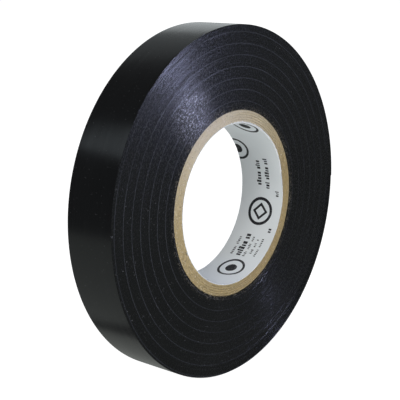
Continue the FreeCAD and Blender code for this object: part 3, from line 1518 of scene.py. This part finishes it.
@dataclass
class LooseRibbon:
    """The last turn and the tail: one strip of film with its coat of glue."""

    ribbon: Ribbon
    joints: list[dict]
    bend: float = 10.0
    lead: float = 0.45
    edge_round: float = 0.025 * MM
    ripple: float = 0.0025 * MM
    edge_drop: float = 0.012 * MM
    end_gap: float = 0.05
    glue_inset: float = 0.06 * MM
    film_cuts: tuple[int, int] = (4, 28)
    glue_cuts: tuple[int, int] = (2, 24)
    least_steps: int = 12
    smooth_angle: float = 40.0

    def wrap(self, piece: Object, start: float, under: float) -> None:
        """Lays a spun strip on the spiral, from an angle on.

        Args:
            piece: The strip, spun from angle 0.
            start: The angle where it starts, in degrees.
            under: How far its outer face lies under the film's outer face.
        """
        outer = np.hypot(*Bench.places(piece)[:, ::2].T).max()
        ripple = Grain(21, (3.0, 2.4 * MM), 24)
        half = self.ribbon.half_width

        def lay(radius: Array, angle: Array, y: Array) -> Polar:
            """Follows the spiral's outline, with an easy ripple and slightly dropped edges.

            Args:
                radius: The distances from the axis.
                angle: The angles from +X, in radians.
                y: The places along the axis.

            Returns:
                The new distances, angles and places.
            """
            angle = angle + math.radians(start)
            near_edge = step(0.90, 1.0, np.abs(y) / half)
            sink = self.ripple * (1 + ripple(angle, y)) + self.edge_drop * near_edge
            depth = outer - radius
            outline = self.ribbon.outline(np.clip(angle, 0.0, TAU - 1e-9))
            return outline - under - depth - np.maximum(sink, 0.0), angle, y

        Bench.reshape(piece, lay)

    def film(self, name: str, start: float, sweep: float) -> Object:
        """Makes one stretch of film.

        Args:
            name: The piece's name.
            start: The angle of its lower end, in degrees.
            sweep: Its length, in degrees.

        Returns:
            The piece, dressed.
        """
        rib = self.ribbon
        outer = rib.upper
        piece = Bench.section(name, outer - rib.film, outer, rib.half_width, *self.film_cuts)
        rows = Bench.places(piece)
        middle = outer - rib.film / 2
        lean = np.abs(rows[:, 0] - middle) / (rib.film / 2)
        at_side = np.abs(rows[:, 1]) > rib.half_width - MERGE
        rows[:, 1] -= np.sign(rows[:, 1]) * at_side * self.edge_round * lean**2
        Bench.put(piece, rows)
        Bench.spin(piece, sweep, max(self.least_steps, round(sweep)))
        self.wrap(piece, start, 0.0)
        Bench.smooth(piece, self.smooth_angle)
        Bench.dress_sides(piece, FILM_FACE, FILM_EDGE)
        return piece

    def glue(self, name: str, start: float, sweep: float) -> Object:
        """Makes one stretch of glue, set in a little from the film's edges.

        Args:
            name: The piece's name.
            start: The angle of its lower end, in degrees.
            sweep: Its length, in degrees.

        Returns:
            The piece, dressed.
        """
        rib = self.ribbon
        outer = rib.upper - rib.film
        width = rib.half_width - self.glue_inset
        piece = Bench.section(name, outer - rib.glue, outer, width, *self.glue_cuts)
        Bench.spin(piece, sweep, max(self.least_steps, round(sweep)))
        self.wrap(piece, start, rib.film)
        Bench.smooth(piece, self.smooth_angle)
        Bench.dress(piece, TACK)
        return piece

    def make_last_turn(self) -> None:
        """Lays the last turn, from where the tail leaves it back to the turn's start."""
        start = self.hinge_angle(0)
        sweep = 360.0 - start - self.end_gap
        film = self.film("last_turn_strip", start, sweep)
        Bench.fit(film, "roll", Slot.VINYL, "last_turn_film")
        glue = self.glue("last_turn_tack", start, sweep)
        Bench.fit(glue, "roll", Slot.GLUE, "last_turn_glue")

    def hinge_angle(self, number: int) -> float:
        """Gives the angle of a peel joint round the roll, in degrees."""
        x, _, z = self.joints[number]["pos_m"]
        return round(math.degrees(math.atan2(z, x - self.ribbon.offset)), 3)

    def make_tail(self) -> None:
        """Lays the tail link by link: a stretch of film and of glue ending at each joint."""
        for number, joint in enumerate(self.joints):
            high = self.hinge_angle(number)
            low = high - self.bend
            hinge, far = self._on_ribbon(high), self._on_ribbon(low)
            before = far - (far - hinge) / (1 - self.lead)
            film = self.film(f"tail_strip_{number + 1}", low, self.bend)
            glue = self.glue(f"tail_tack_{number + 1}", low, self.bend)
            for piece, slot, kind in ((film, Slot.VINYL, "film"), (glue, Slot.GLUE, "glue")):
                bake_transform(piece)
                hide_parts(f"tail_{kind}_{number + 1}")
                LOG.info("%s: bends from %s to %s", piece.name, joint["parent"], joint["child"])

    def _on_ribbon(self, angle: float) -> Array:
        """Gives the point of the film's outer face at an angle in degrees."""
        turn = math.radians(angle)
        radius = float(self.ribbon.outline(np.array([turn]))[0])
        return np.array([radius * math.cos(turn), 0.0, radius * math.sin(turn)])


# ---------------------------------------------------------------------------------------------
# The studio


@dataclass(frozen=True)
class Softbox:
    """One soft light, given by where it stands and how bright its face is."""

    name: str
    direction: Colour
    distance: float
    size: tuple[float, float]
    radiance: float
    colour: Colour = (1.0, 1.0, 1.0)
    mirrored: bool = True

    def hang(self) -> None:
        """Hangs the light so that it faces the roll."""
        lamp = bpy.data.lights.new(self.name, "AREA")
        lamp.shape = "RECTANGLE"
        lamp.size, lamp.size_y = self.size
        lamp.energy = self.radiance * math.pi * self.size[0] * self.size[1]
        lamp.color = self.colour
        holder = Bench.hold(self.name, lamp)
        away = Vector(self.direction).normalized()
        holder.location = away * self.distance
        holder.rotation_euler = away.to_track_quat("Z", "Y").to_euler()
        holder.visible_camera = False
        holder.visible_glossy = self.mirrored


@dataclass(frozen=True)
class Studio:
    """A pale floor, soft lights and the camera."""

    azimuth: float = -51.24
    elevation: float = 13.38
    distance: float = 234.6 * MM
    lens: float = 89.2
    shift: float = -0.037
    floor_size: float = 6.0
    floor_glow: float = 1.0
    floor_roughness: float = 0.9
    ambient: float = 0.05
    boxes: tuple[Softbox, ...] = (
        Softbox("back_wall", (0.60, 0.72, 0.27), 1.6, (2.2, 0.66), 0.76, (0.91, 0.98, 1.0)),
        Softbox("back_upper", (0.40, 0.62, 0.58), 1.5, (1.3, 0.48), 0.22, (0.88, 0.97, 1.0)),
        Softbox("key", (0.446, -0.821, 0.357), 1.2, (0.12, 0.24), 44.0, (0.60, 0.64, 1.0)),
        Softbox("left_streak", (-0.60, 0.61, 0.51), 1.2, (0.30, 0.30), 0.75, (0.82, 0.93, 1.0)),
        Softbox("upper_left", (-0.62, -0.40, 0.68), 1.3, (0.8, 0.8), 5.9, (1.0, 0.98, 0.96), False),
        Softbox("bounce", (-0.35, -0.25, -1.0), 1.0, (1.2, 1.2), 2.4, (0.99, 1.0, 0.97), False),
        Softbox("front", (-0.30, -1.0, 0.15), 1.3, (0.9, 0.9), 1.5, (1.0, 0.99, 0.95), False),
        Softbox("low_back", (-0.42, 0.66, -0.52), 1.2, (1.0, 0.8), 0.25, (0.92, 1.0, 0.94)),
        Softbox("low_right", (0.36, 0.609, -0.71), 1.2, (0.7, 0.62), 0.25, (0.94, 1.0, 0.94)),
        Softbox("right_wall", (1.0, 0.0, 0.26), 1.3, (0.45, 0.50), 0.30, (0.92, 0.97, 1.0)),
    )

    def light(self) -> None:
        """Hangs the lights, and sets a white backdrop with a dim room behind it."""
        for box in self.boxes:
            box.hang()
        world = bpy.data.worlds.new("pale_room")
        bpy.context.scene.world = world
        world.use_nodes = True
        graph = Graph(world.node_tree)
        seen = graph.out(graph.node("ShaderNodeLightPath"), "Is Camera Ray")
        strength = self.ambient + seen * (1.0 - self.ambient)
        glow = graph.node("ShaderNodeBackground", None, Color=WHITE, Strength=strength)
        graph.node("ShaderNodeOutputWorld", None, Surface=graph.out(glow))

    def floor(self, height: float) -> None:
        """Lays the floor under the roll.

        Args:
            height: The height of the roll's lowest point.
        """
        Bench.clear()
        bpy.ops.mesh.primitive_grid_add(
            x_subdivisions=8, y_subdivisions=8, size=self.floor_size, location=(0, 0, height)
        )
        floor = bpy.context.object
        floor.name = "floor"
        bpy.ops.object.transform_apply(location=True, rotation=True, scale=True)
        paint = bpy.data.materials.new("pale_floor")
        paint.use_nodes = True
        graph = Graph(paint.node_tree)
        shader = graph.node(
            "ShaderNodeBsdfPrincipled",
            Base_Color=GREY,
            Roughness=self.floor_roughness,
            Specular_IOR_Level=0.0,
            Emission_Color=WHITE,
            Emission_Strength=self.floor_glow,
        )
        graph.node("ShaderNodeOutputMaterial", None, Surface=graph.out(shader))
        floor.data.materials.append(paint)
        floor.visible_glossy = floor.visible_diffuse = floor.visible_shadow = False
        floor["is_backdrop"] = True

    def camera(self) -> None:
        """Sets the camera on the roll."""
        lens = bpy.data.cameras.new("camera")
        lens.lens = self.lens
        lens.sensor_width = 36.0
        lens.shift_x = self.shift
        lens.clip_start, lens.clip_end = 0.01, 50.0
        holder = Bench.hold("camera", lens)
        turn, rise = math.radians(self.azimuth), math.radians(self.elevation)
        away = Vector(
            (math.sin(turn) * math.cos(rise), -math.cos(turn) * math.cos(rise), math.sin(rise))
        )
        holder.location = away * self.distance
        holder.rotation_mode = "QUATERNION"
        holder.rotation_quaternion = away.to_track_quat("Z", "Y")
        bpy.context.scene.camera = holder
        bpy.context.scene.view_settings.view_transform = "Standard"


def main() -> None:
    """Builds the core, the ribbon and the studio, in that order."""
    logging.basicConfig(level=logging.INFO, format="%(message)s")
    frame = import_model()
    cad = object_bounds()
    bore = next(m for m in frame["record"]["mounts"] if m["name"] == "core_bore")
    core = Core(liner_bore=bore["dims"]["r_mm"] * MM)
    core.make_plies()
    core.make_liner()
    Fray(core).make()
    Print(core).make()
    ribbon = Ribbon.measure()
    LOG.info("ribbon: %s", ribbon)
    WoundTurns(ribbon).make()
    loose = LooseRibbon(ribbon, frame["joints"])
    loose.make_last_turn()
    loose.make_tail()
    studio = Studio()
    studio.floor(cad[0][2])
    studio.light()
    studio.camera()


if __name__ == "__main__":
    main()
